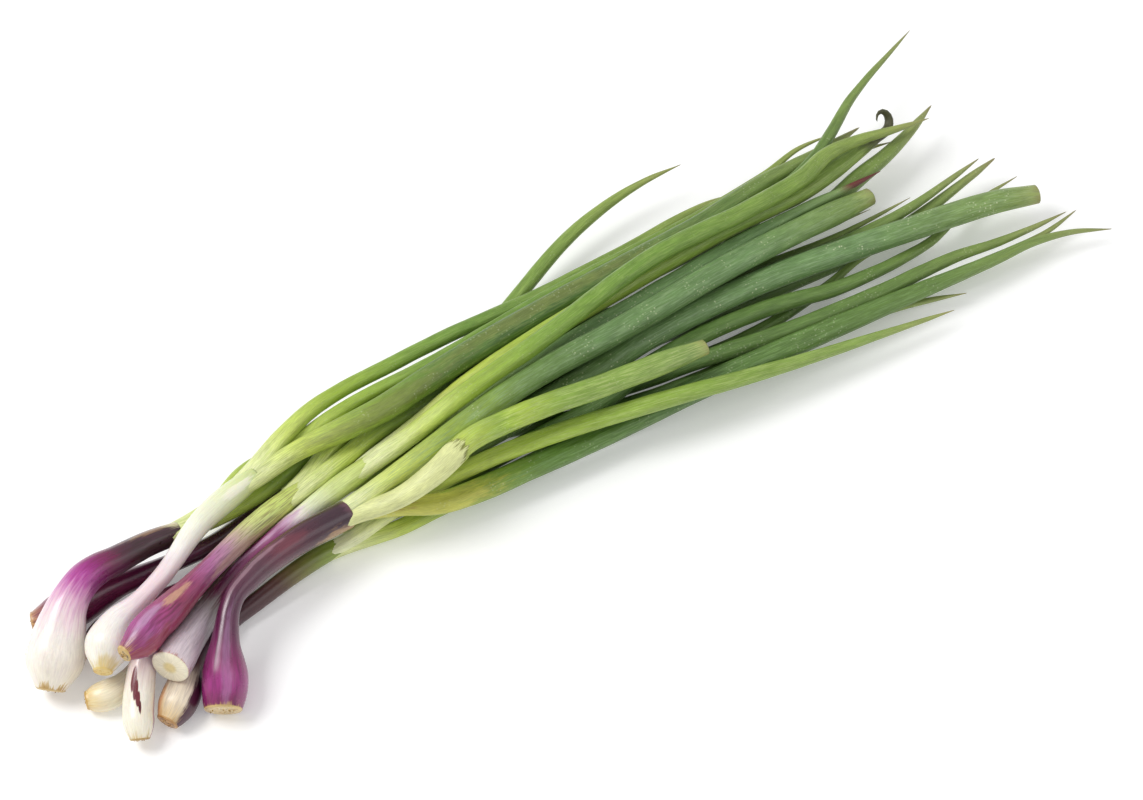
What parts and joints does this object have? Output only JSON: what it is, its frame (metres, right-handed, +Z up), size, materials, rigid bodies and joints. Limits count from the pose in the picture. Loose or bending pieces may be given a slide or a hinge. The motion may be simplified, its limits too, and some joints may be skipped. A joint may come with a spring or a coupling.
{
  "type": "spring onion bunch",
  "caption": "Loose bunch of red and white spring onions lying on its side, bulbs together at one end and long green leaves fanning out at the other.",
  "frame": {"origin": "on the surface that the bunch lies on, under the middle of its box", "axes": "+X along the bunch from the bulbs to the leaf tips, +Z up"},
  "size_m": [0.5278, 0.1804, 0.0439],
  "materials": {
    "pink_skin": "satin skin, cream below and magenta at the shoulder",
    "red_skin": "glossy dark magenta skin",
    "white_skin": "satin white skin",
    "green_leaf": "satin green with fine lengthwise veins",
    "lime_leaf": "satin yellow-green with fine lengthwise veins"
  },
  "bodies": {
    "root": {"onion_01_bulb": "pink_skin", "onion_01_leaf_1": "green_leaf", "onion_01_leaf_2": "green_leaf", "onion_02_bulb": "white_skin", "onion_02_leaf_1": "lime_leaf", "onion_02_leaf_2": "green_leaf", "onion_02_leaf_3": "green_leaf", "onion_03_bulb": "red_skin", "onion_03_leaf_1": "green_leaf", "onion_03_leaf_2": "green_leaf", "onion_04_bulb": "red_skin", "onion_04_leaf_1": "lime_leaf", "onion_04_leaf_2": "lime_leaf", "onion_05_bulb": "red_skin", "onion_05_leaf_1": "green_leaf", "onion_05_leaf_2": "green_leaf", "onion_05_leaf_3": "lime_leaf", "onion_05_leaf_4": "green_leaf", "onion_06_bulb": "red_skin", "onion_06_leaf_1": "lime_leaf", "onion_06_leaf_2": "green_leaf", "onion_07_bulb": "white_skin", "onion_07_leaf_1": "green_leaf", "onion_07_leaf_2": "green_leaf", "onion_08_bulb": "white_skin", "onion_08_leaf_1": "green_leaf", "onion_08_leaf_2": "green_leaf", "onion_09_bulb": "pink_skin", "onion_09_leaf_1": "green_leaf", "onion_09_leaf_2": "green_leaf", "onion_10_bulb": "red_skin", "onion_10_leaf_1": "green_leaf", "onion_10_leaf_2": "green_leaf", "onion_10_leaf_3": "green_leaf"}
  },
  "joints": []
}
